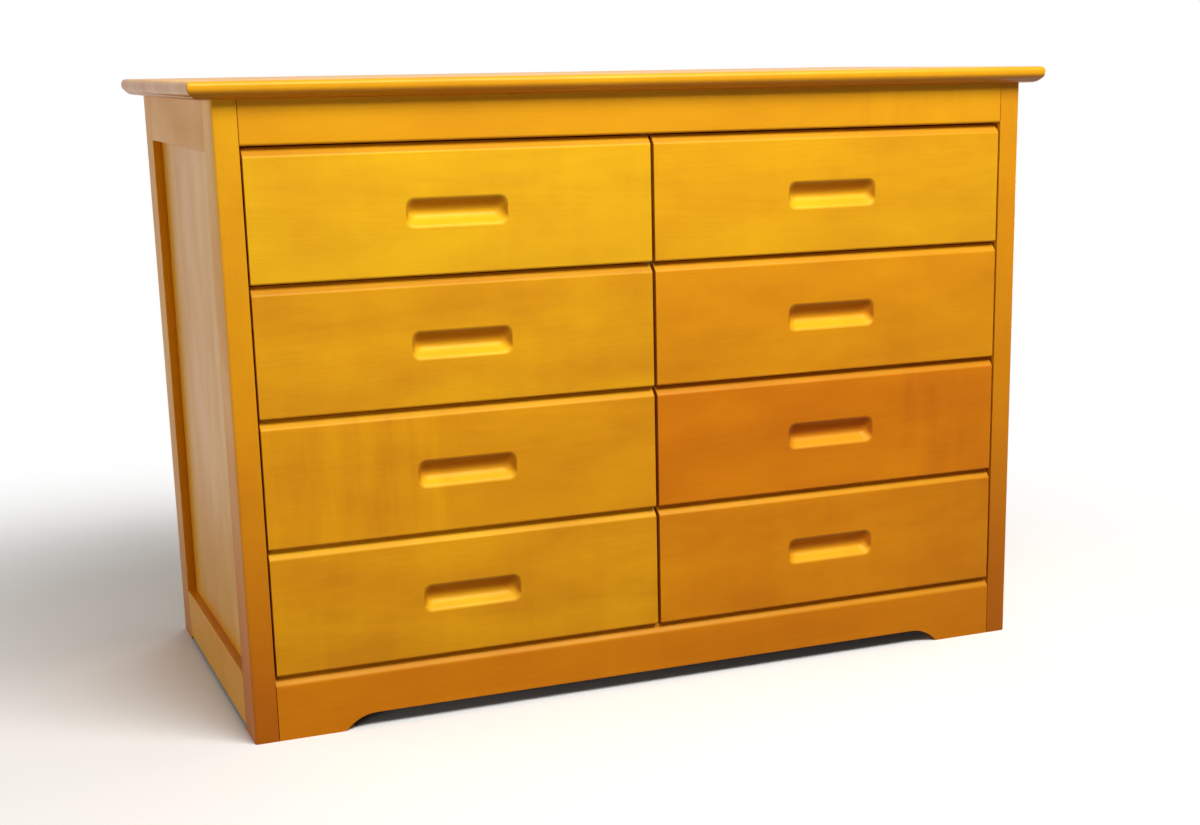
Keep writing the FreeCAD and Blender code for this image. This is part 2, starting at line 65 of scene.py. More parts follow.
def add(tree, kind, inputs=None, **settings):
    """Adds a node with its settings; an input is a value, another node's output or a list of outputs."""
    node = tree.nodes.new(kind)
    for name, value in settings.items():
        setattr(node, name, value)
    for key, value in (inputs or {}).items():
        sources = value if isinstance(value, list) else [value]
        for source in sources:
            if isinstance(source, bpy.types.NodeSocket):
                tree.links.new(source, node.inputs[key])
            else:
                node.inputs[key].default_value = source
    return node


def bare_material(name):
    """A new material and its node tree, with no nodes yet."""
    material = bpy.data.materials.new(name)
    material.use_nodes = True
    material.node_tree.nodes.clear()
    return material, material.node_tree


# The figure of the wood: width and stretch of the rings, how often the other patterns repeat in a metre
# along, across and through the plank, and how much each counts in the shade
WAVE = math.tau / 20  # metres from line to line in a wave texture of scale 1
RING_WIDTH, RING_DRAWN = 0.0038, (0.04, 1, 1)
CLOUDS, CURLS, DASHES = (6, 14, 14), (48, 5, 5), (70, 1000, 1000)
PLAIN_SHADE, RING_DARK, FLECK_DARK, DARKENED_MIX = 0.57, -0.1, -0.1, 0.6
STAVE_SHIFT, STAVE_TONES = (9, 0, 0.09), 0.4
GLOSS_DRIFT, PORE_RELIEF, RELIEF_DEPTH, LACQUER_TINT = 0.05, 0.6, 0.00015, "#ffcf7a"


def timber(name, yellow, amber, darkened_colour, roughness, coat, stave=0.0):
    """Sawn timber under a clear finish, in a dark and a light shade of two tones.

    The grain attribute says where each point lies along, across and through its plank. The board
    attribute holds the plank's tone, how cloudy it is, and how far it is darkened: by end grain, by painted
    shade on the drawer fronts, the base rail's chamfer and the underside of the top, and towards the floor
    on the posts. The figure attribute holds how strong the curl is, and the middle and half-length of the
    stretch with it.
    A stave width in metres makes it a panel glued up from several planks.
    """
    material, tree = bare_material(name)
    grain = add(tree, "ShaderNodeAttribute", attribute_name="grain").outputs["Vector"]
    board = add(tree, "ShaderNodeAttribute", attribute_name="board").outputs["Vector"]
    figure = add(tree, "ShaderNodeAttribute", attribute_name="figure").outputs["Vector"]
    tone, cloudy, end = add(tree, "ShaderNodeSeparateXYZ", {0: board}).outputs
    curl, curl_middle, curl_reach = add(tree, "ShaderNodeSeparateXYZ", {0: figure}).outputs
    along, across, _ = add(tree, "ShaderNodeSeparateXYZ", {0: grain}).outputs
    if stave:
        count = add(tree, "ShaderNodeMath", {0: across, 1: stave}, operation="DIVIDE").outputs[0]
        number = add(tree, "ShaderNodeMath", {0: count}, operation="FLOOR").outputs[0]
        plank = add(tree, "ShaderNodeTexWhiteNoise", {"W": number}, noise_dimensions="1D").outputs
        grain = add(tree, "ShaderNodeVectorMath", {0: plank["Color"], 1: STAVE_SHIFT, 2: grain},
                    operation="MULTIPLY_ADD").outputs[0]
        palest = add(tree, "ShaderNodeMath", {0: tone, 1: STAVE_TONES / 2}, operation="SUBTRACT").outputs[0]
        tone = add(tree, "ShaderNodeMath", {0: plank["Value"], 1: STAVE_TONES, 2: palest},
                   operation="MULTIPLY_ADD").outputs[0]

    # Growth rings about 4 mm apart, drawn out along the plank, each ending in a thin darker line
    drawn = add(tree, "ShaderNodeVectorMath", {0: grain, 1: RING_DRAWN}, operation="MULTIPLY").outputs[0]
    rings = add(tree, "ShaderNodeTexWave",
                {"Vector": drawn, "Scale": WAVE / RING_WIDTH, "Distortion": 4.0, "Detail": 2.0,
                 "Detail Scale": 0.7, "Detail Roughness": 0.55},
                wave_type="RINGS", rings_direction="X", wave_profile="SAW").outputs["Fac"]
    late = add(tree, "ShaderNodeMapRange", {"Value": rings, "From Min": 0.35, "From Max": 1.0}).outputs[0]

    # Cloudy light and dark patches about 150 mm long
    patches = add(tree, "ShaderNodeVectorMath", {0: grain, 1: CLOUDS}, operation="MULTIPLY").outputs[0]
    cloud = add(tree, "ShaderNodeTexNoise", {"Vector": patches, "Scale": 1.0, "Detail": 4.0}).outputs[0]

    # Curl: bands about 20 mm wide across the grain, dying away at the ends of the stretch that shows them
    bands = add(tree, "ShaderNodeVectorMath", {0: grain, 1: CURLS}, operation="MULTIPLY").outputs[0]
    wave = add(tree, "ShaderNodeTexNoise", {"Vector": bands, "Scale": 1.0, "Detail": 2.5}).outputs[0]
    aside = add(tree, "ShaderNodeMath", {0: along, 1: curl_middle}, operation="SUBTRACT").outputs[0]
    aside = add(tree, "ShaderNodeMath", {0: aside, 1: curl_reach}, operation="DIVIDE").outputs[0]
    aside = add(tree, "ShaderNodeMath", {0: aside}, operation="ABSOLUTE").outputs[0]
    shown = add(tree, "ShaderNodeMapRange", {"Value": aside, "From Min": 0.6, "From Max": 1.1,
                                             "To Min": 1.0, "To Max": 0.0}).outputs[0]
    curl = add(tree, "ShaderNodeMath", {0: curl, 1: shown}, operation="MULTIPLY").outputs[0]

    # Pores of maple are under 0.1 mm; these dashes, 1 mm by 14 mm, are that much coarser, to show at all
    dashes = add(tree, "ShaderNodeVectorMath", {0: grain, 1: DASHES}, operation="MULTIPLY").outputs[0]
    speck = add(tree, "ShaderNodeTexNoise", {"Vector": dashes, "Scale": 1.0, "Detail": 1.0}).outputs[0]
    fleck = add(tree, "ShaderNodeMapRange", {"Value": speck, "From Min": 0.5, "From Max": 0.75}).outputs[0]

    drift = add(tree, "ShaderNodeMath", {0: cloud, 1: 0.5}, operation="SUBTRACT").outputs[0]
    bend = add(tree, "ShaderNodeMath", {0: wave, 1: 0.5}, operation="SUBTRACT").outputs[0]
    shade = PLAIN_SHADE
    for pattern, weight in ((late, RING_DARK), (drift, cloudy), (bend, curl), (fleck, FLECK_DARK)):
        shade = add(tree, "ShaderNodeMath", {0: pattern, 1: weight, 2: shade},
                    operation="MULTIPLY_ADD").outputs[0]
    shade = add(tree, "ShaderNodeClamp", {0: shade}).outputs[0]
    pale, deep = (add(tree, "ShaderNodeMix", {0: shade, 6: linear(dark), 7: linear(light)},
                      data_type="RGBA").outputs[2] for dark, light in (yellow, amber))
    wood = add(tree, "ShaderNodeMix", {0: tone, 6: pale, 7: deep}, data_type="RGBA").outputs[2]
    # The third board value mixes the wood towards one darker colour: for end grain, for painted shade on the
    # drawer fronts, the base rail's chamfer and the top's underside, and towards the floor on the posts
    darkened_share = add(tree, "ShaderNodeMath", {0: end, 1: DARKENED_MIX}, operation="MULTIPLY").outputs[0]
    wood = add(tree, "ShaderNodeMix", {0: darkened_share, 6: wood, 7: linear(darkened_colour)},
               data_type="RGBA").outputs[2]

    gloss = add(tree, "ShaderNodeMapRange",
                {"Value": cloud, "From Min": 0.3, "From Max": 0.7, "To Min": roughness + GLOSS_DRIFT,
                 "To Max": roughness - GLOSS_DRIFT}).outputs[0]
    relief = add(tree, "ShaderNodeMath", {0: fleck, 1: PORE_RELIEF, 2: late},
                 operation="MULTIPLY_ADD").outputs[0]
    bump = add(tree, "ShaderNodeBump", {"Strength": 0.25, "Distance": RELIEF_DEPTH, "Height": relief})
    shader = add(tree, "ShaderNodeBsdfPrincipled",
                 {"Base Color": wood, "Roughness": gloss, "IOR": 1.5, "Specular IOR Level": 0.5,
                  "Specular Tint": linear(LACQUER_TINT), "Coat Weight": coat, "Coat Roughness": 0.22,
                  "Coat IOR": 1.5, "Normal": bump.outputs[0]})
    add(tree, "ShaderNodeOutputMaterial", {"Surface": shader.outputs[0]})
    return material


# Hard maple under amber lacquer: honey to orange, with a faint figure under the shine
YELLOW, AMBER = ("#d89a14", "#f0b816"), ("#c46806", "#de8208")
maple = timber("lacquered_maple", YELLOW, AMBER, darkened_colour="#94400a", roughness=0.48, coat=0.05)


def arris_of(low, high):
    """Tells whether an edge lies along an arris of the board between two corners."""
    def test(a, b):
        shared = sum(abs(a.co[k] - face[k]) < ON_LINE and abs(b.co[k] - face[k]) < ON_LINE
                     for k in range(3) for face in (low, high))
        return shared >= 2
    return test


def along_line(**fixed):
    """Tells whether an edge lies on the line where the named coordinates have the given values."""
    def test(a, b):
        return all(abs(getattr(v.co, axis) - value) < ON_LINE
                   for v in (a, b) for axis, value in fixed.items())
    return test


def as_object(bm, name):
    """Ends the making of a shape: an object with that mesh, both under one name."""
    mesh = bpy.data.meshes.new(name)
    bm.to_mesh(mesh)
    bm.free()
    return bpy.data.objects.new(name, mesh)


def planed(node, *eases):
    """A board of the CAD shape with its arrises rounded, each ease a size and a test for its edges."""
    bm = bmesh.new()
    bm.from_mesh(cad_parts[node].data)
    bmesh.ops.remove_doubles(bm, verts=bm.verts, dist=SAME_POINT)
    bmesh.ops.dissolve_limit(bm, angle_limit=FLAT_ANGLE, verts=bm.verts, edges=bm.edges)
    for ease, is_arris in eases:
        sharp = [edge for edge in bm.edges if edge.is_manifold and edge.is_convex
                 and edge.calc_face_angle(0) > SHARP_ANGLE and is_arris(*edge.verts)]
        bmesh.ops.bevel(bm, geom=sharp, offset=ease, segments=EASE_STEPS, profile=0.5, affect="EDGES",
                        clamp_overlap=True)
    bmesh.ops.dissolve_degenerate(bm, edges=bm.edges, dist=SAME_POINT)
    return as_object(bm, node + "_board")


# Where in its log a plank may lie: along it, and how far its heart is to the side and below or above
LOG_LENGTH, HEART_ASIDE, HEART_AWAY = 20, (-0.06, 0.06), (0.04, 0.11)
ALL_ALONG = 9.0  # half-length of a curl that shows on the whole plank


def lay_grain(piece, along, across, tone=0.4, cloudy=1.2, curl=(0.25, 0.0, ALL_ALONG), tilt=0.02,
              tinting=None):
    """Stores where each point of a piece lies in its plank, and what the plank is like.

    A tone is one number, or two where it drifts from one end of the plank to the other. The last argument
    gives, for a point of a face, how far it is darkened, from 0 to 1, and how much tone it loses: painted
    shade and painted light on the drawer fronts, painted shade on the base rail's chamfer and the top's
    underside, and a darkening towards the floor on the posts.
    """
    mesh = piece.data
    points = np.empty(3 * len(mesh.vertices), np.float32)
    mesh.vertices.foreach_get("co", points)
    points = points.reshape(-1, 3)
    local = points - (points.min(0) + points.max(0)) / 2
    axes = [along, across, ({"X", "Y", "Z"} - {along, across}).pop()]
    length, side, through = (local[:, "XYZ".index(axis)] for axis in axes)
    start = chance.uniform(0, LOG_LENGTH)
    heart = chance.uniform(*HEART_ASIDE), chance.uniform(*HEART_AWAY) * chance.choice((-1, 1))
    slope = chance.uniform(-tilt, tilt), chance.uniform(-tilt, tilt)
    grain = np.stack((length + start, side + heart[0] + slope[0] * length,
                      through + heart[1] + slope[1] * length), axis=1)
    stored = mesh.attributes.new("grain", "FLOAT_VECTOR", "POINT")
    stored.data.foreach_set("vector", grain.astype(np.float32).ravel())
    k = "XYZ".index(along)
    tones = np.interp(length, (length.min(), length.max()), tone if isinstance(tone, tuple) else (tone, tone))
    strength, middle, reach = curl
    board, figure = [], []
    for face in mesh.polygons:
        end_grain = max(0.0, 2 * abs(face.normal[k]) - 1)
        for vertex in face.vertices:
            how_dark, lost = tinting(face, mesh.vertices[vertex].co) if tinting else (0.0, 0.0)
            # The third value carries end grain, painted shade, and the darkening towards the floor on the
            # posts
            board.append((tones[vertex] - lost, cloudy, max(end_grain, how_dark)))
        figure += [(strength, middle + start, reach)] * len(face.vertices)
    for name, rows in (("board", board), ("figure", figure)):
        stored = mesh.attributes.new(name, "FLOAT_VECTOR", "CORNER")
        stored.data.foreach_set("vector", np.array(rows, np.float32).ravel())


def bring_in(piece):
    """Puts a piece in the scene, once."""
    if piece.name not in bpy.context.scene.collection.objects:
        bpy.context.scene.collection.objects.link(piece)


def fit(piece, finish, body, slot, *nodes):
    """Gives a finished piece its material and fixes it to its body, in place of the CAD nodes it shows."""
    bring_in(piece)
    mesh = piece.data
    mesh.materials.clear()
    mesh.materials.append(finish)
    mesh.polygons.foreach_set("use_smooth", [True] * len(mesh.polygons))
    mesh.set_sharp_from_angle(angle=SMOOTH_ANGLE)
    flats = piece.modifiers.new("flat_faces", "WEIGHTED_NORMAL")
    flats.keep_sharp = True
    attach(piece, body)
    if nodes:
        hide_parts(*nodes)


def darker_to_floor(face, point):
    """How much darker a post is made towards its foot, most at the floor."""
    return max(0.0, 1 - point.z / FOOT_DARK_HEIGHT), 0.0


for node, tone in POSTS.items():
    low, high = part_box(node)
    high.z += OUT_OF_REACH
    corner = along_line(x=low.x if "left" in node else high.x, y=low.y if "front" in node else high.y)
    post = planed(node, (POST_CORNER, corner), (POST_EASE, arris_of(low, high)))
    bm = bmesh.new()
    bm.from_mesh(post.data)
    bmesh.ops.bisect_plane(bm, geom=bm.verts[:] + bm.edges[:] + bm.faces[:],
                           plane_co=(0, 0, FOOT_DARK_HEIGHT), plane_no=(0, 0, 1))
    bm.to_mesh(post.data)
    bm.free()
    lay_grain(post, "Z", "Y", tone, tinting=darker_to_floor)
    fit(post, maple, "case", "case_maple", node)


# Side rails: two to a side, set between the posts on tongues that enter the posts' grooves.
# The upper one meets the top, and the lower one shows its eased upper arris as a ledge under the panel.
RAIL_EASE, SIDE_TONE = 0.0012, 0.5
for side in ("left", "right"):
    for level in ("top", "bottom"):
        node = f"{side}_side_{level}_rail"
        low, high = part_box(node)
        low.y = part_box(f"front_{side}_post")[1].y
        high.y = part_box(f"back_{side}_post")[0].y
        if level == "top":
            high.z += OUT_OF_REACH
        rail = planed(node, (RAIL_EASE, arris_of(low, high)))
        lay_grain(rail, "Y", "Z", tone=SIDE_TONE)
        fit(rail, maple, "case", "case_maple", node)


# Side panels: flat panels glued up from maple planks about 105 mm wide, with the grain upright.
# They float in the grooves of the posts and rails, set back from the face of the frame.
PANEL_STAVE, PANEL_EASE = 0.105, 0.001
panel_maple = timber("maple_glued_panel", YELLOW, AMBER, darkened_colour="#a85c10", roughness=0.4, coat=0.1,
                     stave=PANEL_STAVE)
for side in ("left", "right"):
    node = f"{side}_side_panel"
    panel = planed(node, (PANEL_EASE, arris_of(*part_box(node))))
    lay_grain(panel, "Z", "Y", tone=SIDE_TONE, tilt=0)
    fit(panel, panel_maple, "case", "case_maple", node)


# Front and back rails: tenoned into the posts. The front one above the drawers is planed flush with
# the posts, so the joint shows as a fine line, and the two at the back carry the back panel.
RAIL_TONES = {"front_top_rail": 0.45, "back_top_rail": 0.5, "back_bottom_rail": 0.55}
RAIL_LIP, JOINT_LINE, RAIL_CURL = 0.003, 0.0008, (0.7, 0.36, 0.1)


def open_joint(rail, shoulder):
    """Draws a rail's two shoulders back from the posts by the width of the line that the joint shows."""
    for vert in rail.data.vertices:
        if shoulder - 2 * RAIL_EASE < abs(vert.co.x) < shoulder + ON_LINE:
            vert.co.x -= math.copysign(JOINT_LINE, vert.co.x)


for node, tone in RAIL_TONES.items():
    low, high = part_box(node)
    low.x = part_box("front_left_post")[1].x
    high.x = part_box("front_right_post")[0].x
    if "top" in node:
        high.z += OUT_OF_REACH
    lip = along_line(y=low.y if "front" in node else high.y, z=low.z)
    rail = planed(node, (RAIL_LIP, lip), (RAIL_EASE, arris_of(low, high)))
    open_joint(rail, high.x)
    lay_grain(rail, "X", "Z", tone=tone, curl=RAIL_CURL)
    fit(rail, maple, "case", "case_maple", node)


# Base rail: a maple board on edge under the drawers, chamfered along its top like the drawer fronts,
# with its underside sawn away between two feet that curve down to the floor.
# Painted shade on the base rail's chamfer: how dark it is made, and how much tone it loses there so it stays
# golden
BASE_CHAMFER, BASE_FOOT, BASE_TONE, BASE_CHAMFER_SHADE, SHADE_TONE_SHIFT = 0.010, 0.0022, 0.95, 0.6, 0.5


def base_arris(a, b):
    """True along the outline of the board's face and the upper line of its chamfer."""
    on_face = all(abs(v.co.y - base_low.y) < ON_LINE for v in (a, b))
    on_top = all(abs(v.co.z - base_high.z) < ON_LINE for v in (a, b))
    return on_face or (on_top and abs(a.co.y - b.co.y) < ON_LINE)


def shaded_base_chamfer(face, point):
    """How much painted shade darkens the board's chamfer, and how much tone it loses there."""
    return (BASE_CHAMFER_SHADE, SHADE_TONE_SHIFT) if face.center.z > base_high.z - BASE_CHAMFER else (0.0, 0.0)


base_low, base_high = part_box("front_base_rail")
chamfer_foot = along_line(y=base_low.y, z=base_high.z - BASE_CHAMFER)
base_rail = planed("front_base_rail", (BASE_FOOT, chamfer_foot), (RAIL_EASE, base_arris))
open_joint(base_rail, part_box("front_right_post")[0].x)
lay_grain(base_rail, "X", "Z", tone=BASE_TONE, tinting=shaded_base_chamfer)
fit(base_rail, maple, "case", "case_maple", "front_base_rail")


# Partition and runners: a birch board between the two columns of drawers, and sixteen birch strips
# screwed to it and to the posts. The drawers' grooved sides slide on the strips, so they are waxed and
# not lacquered.
PARTITION_EASE, RUNNER_EASE, RUNNER_LEAST = 0.001, 0.0012, 0.1
birch = timber("sealed_birch", ("#d9b078", "#efd3a2"), ("#c99c62", "#e6c48c"),
               darkened_colour="#b08850", roughness=0.5, coat=0.0)
node = "centre_partition"
partition = planed(node, (PARTITION_EASE, arris_of(*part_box(node))))
lay_grain(partition, "Z", "Y")
fit(partition, birch, "case", "inner_birch", node)


def along_runner(a, b):
    """True along the length of a strip."""
    return abs(a.co.y - b.co.y) > RUNNER_LEAST


runners = planed("drawer_runners", (RUNNER_EASE, along_runner))
lay_grain(runners, "Y", "Z")
fit(runners, birch, "case", "inner_birch", "drawer_runners")


# Corner blocks: four triangular birch blocks glued into the corners under the top, where a screw
# through each holds the top down.
BLOCK_EASE = 0.0008
node = "corner_blocks"
blocks = planed(node, (BLOCK_EASE, arris_of(*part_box(node))))
lay_grain(blocks, "X", "Y")
fit(blocks, birch, "case", "inner_birch", node)


# Screws: zinc-plated wood screws with countersunk cross-slotted heads, two to a runner and one to a
# block. Each lies where the runner or block is drilled for it, its slots turned as they happened to stop.
SCREW_SIZES = {"Head radius": 0.004, "Head height": 0.0025, "Shank radius": 0.002,
               "Slot width": 0.0011, "Slot depth": 0.0016}
HEAD_SIDES, SHANK_SIDES, SLOT_REACH, TURN_SEED = 20, 12, 1.2, 5
SPANGLES, ZINC_DULL = 900.0, (0.28, 0.42)
zinc, tree = bare_material("zinc_plated_steel")
place = add(tree, "ShaderNodeTexCoord").outputs["Object"]
spangle = add(tree, "ShaderNodeTexNoise", {"Vector": place, "Scale": SPANGLES, "Detail": 2.0}).outputs[0]
dulled = add(tree, "ShaderNodeMapRange", {"Value": spangle, "From Min": 0.3, "From Max": 0.7,
                                          "To Min": ZINC_DULL[0], "To Max": ZINC_DULL[1]}).outputs[0]
plating = add(tree, "ShaderNodeMix", {0: spangle, 6: linear("#a9a69c"), 7: linear("#cfccc2")},
              data_type="RGBA").outputs[2]
shader = add(tree, "ShaderNodeBsdfPrincipled", {"Base Color": plating, "Metallic": 1.0, "Roughness": dulled})
add(tree, "ShaderNodeOutputMaterial", {"Surface": shader.outputs[0]})

tree = bpy.data.node_groups.new("countersunk_screws", "GeometryNodeTree")
tree.interface.new_socket("Heads", in_out="INPUT", socket_type="NodeSocketGeometry")
screw_inputs = {label: tree.interface.new_socket(label, in_out="INPUT", socket_type="NodeSocketFloat")
                for label in SCREW_SIZES}
tree.interface.new_socket("Screws", in_out="OUTPUT", socket_type="NodeSocketGeometry")
given = add(tree, "NodeGroupInput").outputs
cone = add(tree, "GeometryNodeMeshCone",
           {"Vertices": HEAD_SIDES, "Radius Bottom": given["Head radius"],
            "Radius Top": given["Shank radius"], "Depth": given["Head height"]}).outputs["Mesh"]
slot_length = add(tree, "ShaderNodeMath", {0: given["Head radius"], 1: SLOT_REACH},
                  operation="MULTIPLY").outputs[0]
# Each cutter is centred on the face of the head, so it is twice as deep as its slot
slot_cut = add(tree, "ShaderNodeMath", {0: given["Slot depth"], 1: 2.0}, operation="MULTIPLY").outputs[0]
slots = []
for x, y in ((slot_length, given["Slot width"]), (given["Slot width"], slot_length)):
    size = add(tree, "ShaderNodeCombineXYZ", {0: x, 1: y, 2: slot_cut}).outputs[0]
    slots.append(add(tree, "GeometryNodeMeshCube", {"Size": size}).outputs["Mesh"])
head = add(tree, "GeometryNodeMeshBoolean", {"Mesh 1": cone, "Mesh 2": slots},
           operation="DIFFERENCE", solver="EXACT").outputs["Mesh"]
rod = add(tree, "GeometryNodeMeshCylinder",
          {"Vertices": SHANK_SIDES, "Radius": given["Shank radius"], "Depth": 1.0}).outputs["Mesh"]
shank = add(tree, "GeometryNodeTransform", {"Geometry": rod, "Translation": (0, 0, 0.5)}).outputs[0]
turn = add(tree, "FunctionNodeRandomValue", {2: 0.0, 3: math.pi, "Seed": TURN_SEED},
           data_type="FLOAT").outputs[1]
spin = add(tree, "FunctionNodeAxisAngleToRotation", {"Axis": (0, 0, 1), "Angle": turn}).outputs[0]
facing = add(tree, "GeometryNodeInputNamedAttribute", {"Name": "facing"}, data_type="FLOAT_VECTOR").outputs[0]
length = add(tree, "GeometryNodeInputNamedAttribute", {"Name": "length"}, data_type="FLOAT").outputs[0]
aim = add(tree, "FunctionNodeAlignRotationToVector", {"Rotation": spin, "Vector": facing},
          axis="Z").outputs[0]
stretch = add(tree, "ShaderNodeCombineXYZ", {0: 1.0, 1: 1.0, 2: length}).outputs[0]
heads = add(tree, "GeometryNodeInstanceOnPoints",
            {"Points": given["Heads"], "Instance": head, "Rotation": aim}).outputs[0]
shanks = add(tree, "GeometryNodeInstanceOnPoints",
             {"Points": given["Heads"], "Instance": shank, "Rotation": aim, "Scale": stretch}).outputs[0]
both = add(tree, "GeometryNodeJoinGeometry", {0: [heads, shanks]}).outputs[0]
real = add(tree, "GeometryNodeRealizeInstances", {0: both}).outputs[0]
coated = add(tree, "GeometryNodeSetMaterial", {"Geometry": real, "Material": zinc}).outputs[0]
add(tree, "NodeGroupOutput", {0: coated})


def separate_solids(node):
    """The points of each separate solid in a CAD node."""
    bm = bmesh.new()
    bm.from_mesh(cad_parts[node].data)
    bmesh.ops.remove_doubles(bm, verts=bm.verts, dist=SAME_POINT)
    left = set(bm.verts)
    while left:
        solid, reached = set(), [min(left, key=lambda v: v.index)]
        while reached:
            vert = reached.pop()
            if vert in solid:
                continue
            solid.add(vert)
            reached += [link.other_vert(vert) for link in vert.link_edges]
        left -= solid
        yield np.array([vert.co for vert in solid])
    bm.free()


def make_plain(piece):
    """Turns what a piece's modifiers make into its own plain mesh."""
    bring_in(piece)
    graph = bpy.context.evaluated_depsgraph_get()
    mesh = bpy.data.meshes.new_from_object(piece.evaluated_get(graph))
    piece.modifiers.clear()
    piece.data = mesh


def shape_by(piece, tree, inputs, sizes):
    """Makes a piece with a node group, given its sizes by the identifiers of its inputs."""
    maker = piece.modifiers.new("made", "NODES")
    maker.node_group = tree
    for label, value in sizes.items():
        maker[inputs[label].identifier] = value
    make_plain(piece)


# A screw's head is at the wider of the two ends of its CAD solid
END_REACH = 1e-4
places, aims, lengths = [], [], []
for points in separate_solids("screws"):
    low, high = points.min(0), points.max(0)
    axis = int(np.argmax(high - low))
    middle = (low + high) / 2
    wide_low, wide_high = (np.abs(points[np.abs(points[:, axis] - end[axis]) < END_REACH] - middle).max(0)
                           for end in (low, high))
    across_axis = (axis + 1) % 3
    head_low = wide_low[across_axis] > wide_high[across_axis]
    middle[axis] = low[axis] if head_low else high[axis]
    direction = [0.0, 0.0, 0.0]
    direction[axis] = 1.0 if head_low else -1.0
    places.append(middle.tolist())
    aims.append(direction)
    lengths.append(high[axis] - low[axis])
mesh = bpy.data.meshes.new("wood_screws")
mesh.from_pydata(places, [], [])
stored = mesh.attributes.new("facing", "FLOAT_VECTOR", "POINT")
stored.data.foreach_set("vector", np.ravel(aims).astype(np.float32))
stored = mesh.attributes.new("length", "FLOAT", "POINT")
stored.data.foreach_set("value", np.array(lengths, np.float32))
wood_screws = bpy.data.objects.new("wood_screws", mesh)
shape_by(wood_screws, tree, screw_inputs, SCREW_SIZES)
fit(wood_screws, zinc, "case", "screw_steel", "screws")


# Back panel: a sheet of birch plywood let into rebates in the back posts, a shade below flush,
# and held by panel pins along its edges.
SHEET_SUNK, SHEET_EASE, PIN_EDGE = 0.0005, 0.0006, 0.005
PLY_RING, PLY_PEELED = 0.026, (2.0, 1.0, 9.0)
PLY_LINES, PLY_CLOUDS, PLY_RING_DARK, PLY_PORE_LIGHT = (30, 1, 900), (3, 1, 11), -0.22, 0.7
plywood, tree = bare_material("birch_plywood")
place = add(tree, "ShaderNodeTexCoord").outputs["Object"]
x, y, z = add(tree, "ShaderNodeSeparateXYZ", {0: place}).outputs
over = add(tree, "ShaderNodeMath", {0: y, 1: z}, operation="ADD").outputs[0]
face = add(tree, "ShaderNodeCombineXYZ", {0: x, 2: over}).outputs[0]
# Rotary-cut rings show as flowing lines about 26 mm apart, with pores drawn 1 mm wide to show at all
peeled = add(tree, "ShaderNodeMapping", {"Vector": face, "Scale": PLY_PEELED}).outputs[0]
flow = add(tree, "ShaderNodeTexWave",
           {"Vector": peeled, "Scale": WAVE / (PLY_PEELED[2] * PLY_RING), "Distortion": 11.0,
            "Detail": 3.0, "Detail Scale": 0.9, "Detail Roughness": 0.6},
           wave_type="BANDS", bands_direction="Z", wave_profile="SAW").outputs["Fac"]
lines = add(tree, "ShaderNodeMapping", {"Vector": face, "Scale": PLY_LINES}).outputs[0]
pores = add(tree, "ShaderNodeTexNoise", {"Vector": lines, "Scale": 1.0, "Detail": 2.0}).outputs[0]
clouds = add(tree, "ShaderNodeMapping", {"Vector": face, "Scale": PLY_CLOUDS}).outputs[0]
shade = add(tree, "ShaderNodeTexNoise", {"Vector": clouds, "Scale": 1.0, "Detail": 3.0}).outputs[0]
for pattern, weight in ((flow, PLY_RING_DARK), (pores, PLY_PORE_LIGHT)):
    shade = add(tree, "ShaderNodeMath", {0: pattern, 1: weight, 2: shade},
                operation="MULTIPLY_ADD").outputs[0]
shade = add(tree, "ShaderNodeMapRange", {"Value": shade, "From Min": 0.2, "From Max": 1.1}).outputs[0]
veneer = add(tree, "ShaderNodeMix", {0: shade, 6: linear("#cfa872"), 7: linear("#ecd2a4")},
             data_type="RGBA").outputs[2]
bump = add(tree, "ShaderNodeBump", {"Strength": 0.2, "Distance": 0.0001, "Height": pores})
shader = add(tree, "ShaderNodeBsdfPrincipled",
             {"Base Color": veneer, "Roughness": 0.55, "Specular IOR Level": 0.3, "Normal": bump.outputs[0]})
add(tree, "ShaderNodeOutputMaterial", {"Surface": shader.outputs[0]})


def along_sheet(a, b):
    """True along the edges of the sheet's two faces."""
    return abs(a.co.y - b.co.y) < SAME_POINT


low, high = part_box("back_panel")
sheet = planed("back_panel", (SHEET_EASE, along_sheet))
for vert in sheet.data.vertices:
    if vert.co.y > (low.y + high.y) / 2:
        vert.co.y -= SHEET_SUNK
fit(sheet, plywood, "case", "plywood", "back_panel")

PIN_SIZES = {"Across": high.x - low.x - 2 * PIN_EDGE, "Up": high.z - low.z - 2 * PIN_EDGE, "Spacing": 0.11,
             "Head radius": 0.0016, "Head height": 0.0005}
PIN_SIDES, PIN_TAPER = 16, 0.7
tree = bpy.data.node_groups.new("panel_pins", "GeometryNodeTree")
pin_inputs = {label: tree.interface.new_socket(label, in_out="INPUT", socket_type="NodeSocketFloat")
              for label in PIN_SIZES}
tree.interface.new_socket("Pins", in_out="OUTPUT", socket_type="NodeSocketGeometry")
given = add(tree, "NodeGroupInput").outputs
edge = add(tree, "GeometryNodeCurvePrimitiveQuadrilateral",
           {"Width": given["Across"], "Height": given["Up"]}).outputs[0]
spaced = add(tree, "GeometryNodeResampleCurve", {"Curve": edge, "Length": given["Spacing"]},
             mode="LENGTH").outputs[0]
taper = add(tree, "ShaderNodeMath", {0: given["Head radius"], 1: PIN_TAPER}, operation="MULTIPLY").outputs[0]
pin = add(tree, "GeometryNodeMeshCone",
          {"Vertices": PIN_SIDES, "Radius Bottom": given["Head radius"], "Radius Top": taper,
           "Depth": given["Head height"]}).outputs["Mesh"]
pins = add(tree, "GeometryNodeInstanceOnPoints", {"Points": spaced, "Instance": pin}).outputs[0]
real = add(tree, "GeometryNodeRealizeInstances", {0: pins}).outputs[0]
